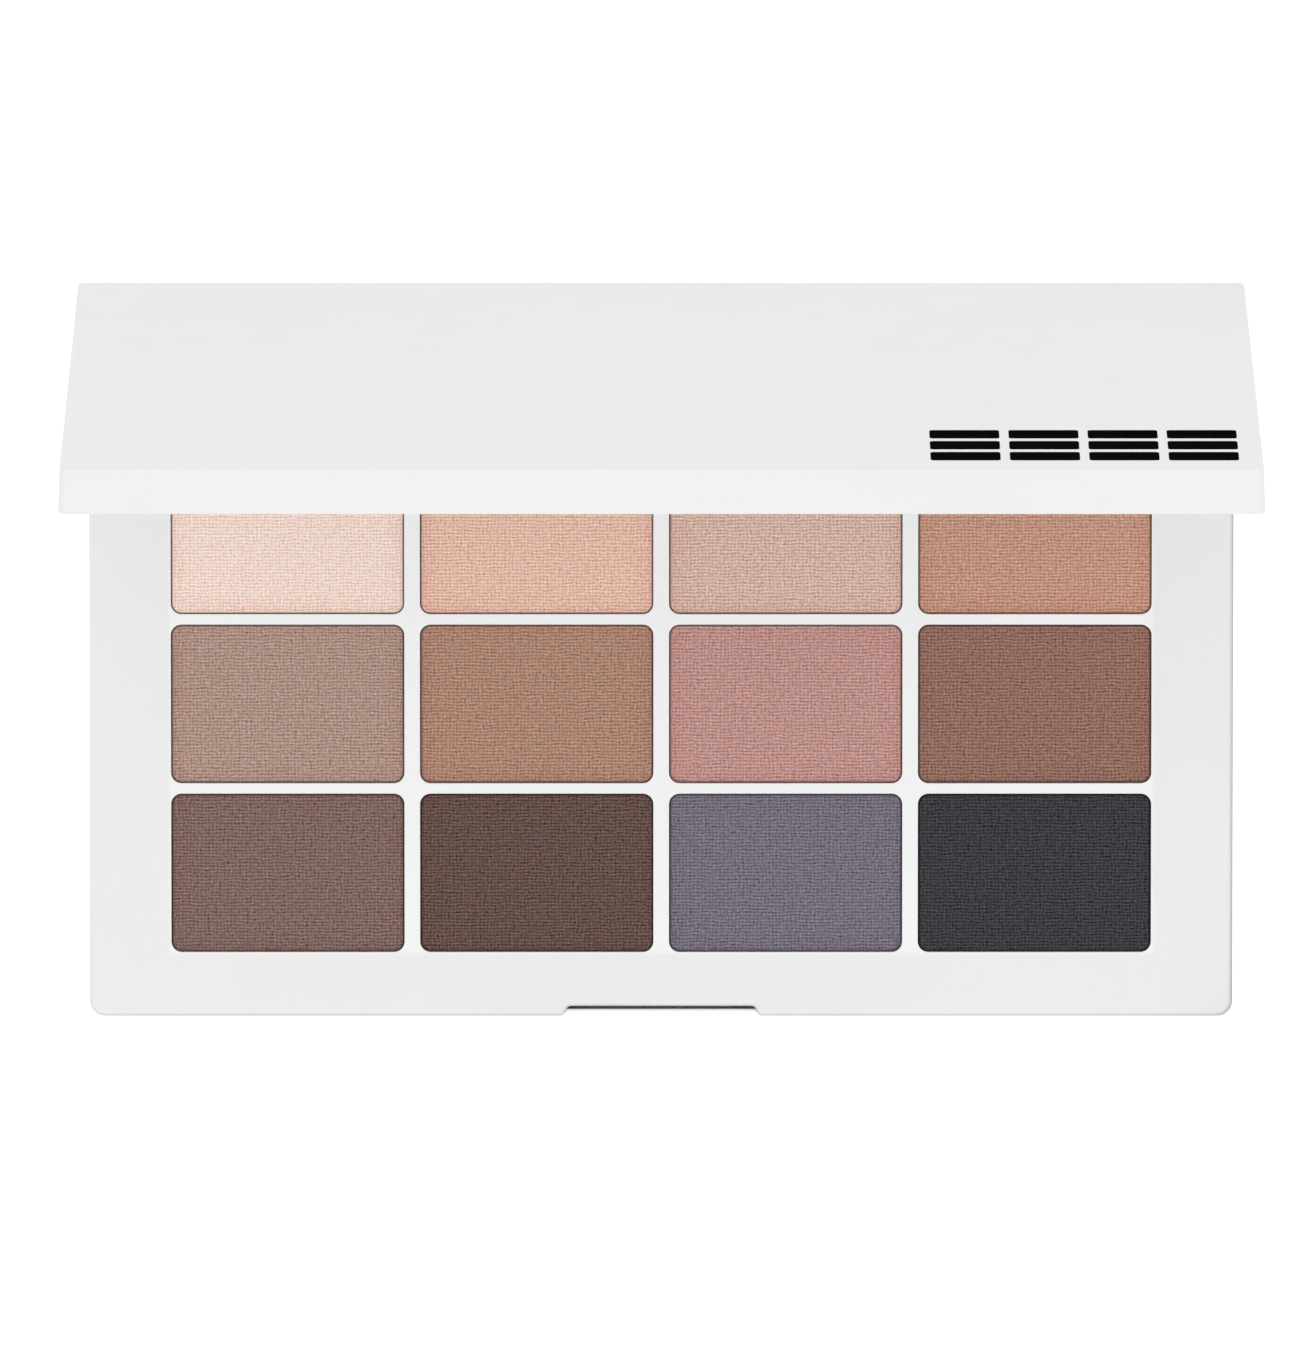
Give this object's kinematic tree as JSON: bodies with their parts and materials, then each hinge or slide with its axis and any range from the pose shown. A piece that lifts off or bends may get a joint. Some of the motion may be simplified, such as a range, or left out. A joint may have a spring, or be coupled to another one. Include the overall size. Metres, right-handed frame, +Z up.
{
  "type": "eyeshadow palette",
  "caption": "Slim white matte eyeshadow palette: a hinged mirrored lid over a deck of inset rectangular pressed-powder pans, with a thumb notch in the front edge.",
  "frame": {"origin": "middle of the base's flat underside", "axes": "+X to the right along the hinge, +Y from the thumb notch towards the hinge, +Z up from the surface it lies on"},
  "size_m": [0.1552, 0.0978, 0.0983],
  "materials": {
    "white_case": "fine matte moulded white",
    "tinplate": "pressed tinplate",
    "glue": "hot-melt adhesive",
    "plated_magnet": "nickel-plated magnet",
    "steel_pin": "drawn wire",
    "foam_tape": "double-sided foam tape",
    "mirror": "silvered glass, polished",
    "label_stock": "blank satin label",
    "powder_r1_c1": "matte pressed powder, ivory, linen imprint",
    "powder_r1_c2": "matte pressed powder, peach, linen imprint",
    "powder_r1_c3": "matte pressed powder, beige taupe, linen imprint",
    "powder_r1_c4": "matte pressed powder, soft terracotta, linen imprint",
    "powder_r2_c1": "matte pressed powder, taupe, linen imprint",
    "powder_r2_c2": "matte pressed powder, tan brown, linen imprint",
    "powder_r2_c3": "matte pressed powder, dusty pink, linen imprint",
    "powder_r2_c4": "matte pressed powder, reddish brown, linen imprint",
    "powder_r3_c1": "matte pressed powder, mauve brown, linen imprint",
    "powder_r3_c2": "matte pressed powder, dark brown, linen imprint",
    "powder_r3_c3": "matte pressed powder, slate purple, linen imprint",
    "powder_r3_c4": "matte pressed powder, charcoal, linen imprint"
  },
  "bodies": {
    "base": {"base_shell": "white_case", "deck_tray": "white_case", "pan_r1_c1": "tinplate", "pan_r1_c2": "tinplate", "pan_r1_c3": "tinplate", "pan_r1_c4": "tinplate", "pan_r2_c1": "tinplate", "pan_r2_c2": "tinplate", "pan_r2_c3": "tinplate", "pan_r2_c4": "tinplate", "pan_r3_c1": "tinplate", "pan_r3_c2": "tinplate", "pan_r3_c3": "tinplate", "pan_r3_c4": "tinplate", "shade_r1_c1": "powder_r1_c1", "shade_r1_c2": "powder_r1_c2", "shade_r1_c3": "powder_r1_c3", "shade_r1_c4": "powder_r1_c4", "shade_r2_c1": "powder_r2_c1", "shade_r2_c2": "powder_r2_c2", "shade_r2_c3": "powder_r2_c3", "shade_r2_c4": "powder_r2_c4", "shade_r3_c1": "powder_r3_c1", "shade_r3_c2": "powder_r3_c2", "shade_r3_c3": "powder_r3_c3", "shade_r3_c4": "powder_r3_c4", "glue_dot_r1_c1": "glue", "glue_dot_r1_c2": "glue", "glue_dot_r1_c3": "glue", "glue_dot_r1_c4": "glue", "glue_dot_r2_c1": "glue", "glue_dot_r2_c2": "glue", "glue_dot_r2_c3": "glue", "glue_dot_r2_c4": "glue", "glue_dot_r3_c1": "glue", "glue_dot_r3_c2": "glue", "glue_dot_r3_c3": "glue", "glue_dot_r3_c4": "glue", "base_magnet_left": "plated_magnet", "base_magnet_right": "plated_magnet", "hinge_pin_left": "steel_pin", "hinge_pin_right": "steel_pin", "bottom_label": "label_stock"},
    "lid": {"lid_shell": "white_case", "mirror_frame": "white_case", "mirror": "mirror", "mirror_tape": "foam_tape", "lid_magnet_left": "plated_magnet", "lid_magnet_right": "plated_magnet"}
  },
  "joints": [
    {"name": "lid_hinge", "type": "hinge", "parent": "base", "child": "lid", "pos_m": [0, 0.0473, 0.005], "axis": [-1, 0, 0], "range_deg": [-80.5, 39.5]}
  ]
}
